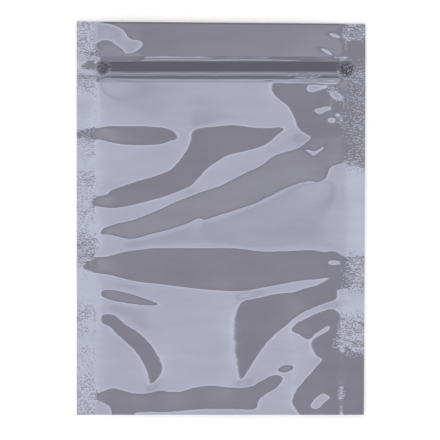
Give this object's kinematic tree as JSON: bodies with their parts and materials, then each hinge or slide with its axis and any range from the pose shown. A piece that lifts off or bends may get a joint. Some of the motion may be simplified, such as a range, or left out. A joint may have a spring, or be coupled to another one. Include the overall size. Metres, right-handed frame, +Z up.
{
  "type": "anti static shielding bag",
  "caption": "Flat zip-lock bag of metallised static shielding film, with a folded bottom, fused side seals and a press-to-close zip below its open mouth.",
  "frame": {"origin": "under the middle of the bag, on the surface it lies on", "axes": "+X across the bag to its right side seal, +Y along the bag towards its mouth, +Z up out of the front film"},
  "size_m": [0.11, 0.15, 0.0026],
  "materials": {
    "shielding_film": "glossy metallised film, lavender grey, slightly see-through",
    "zip_channel": "translucent natural polyethylene, satin",
    "zip_rib": "translucent natural polyethylene, satin"
  },
  "bodies": {
    "root": {"film_body": "shielding_film", "zip_channel_strip": "zip_channel", "zip_rib_strip": "zip_rib"}
  },
  "joints": []
}
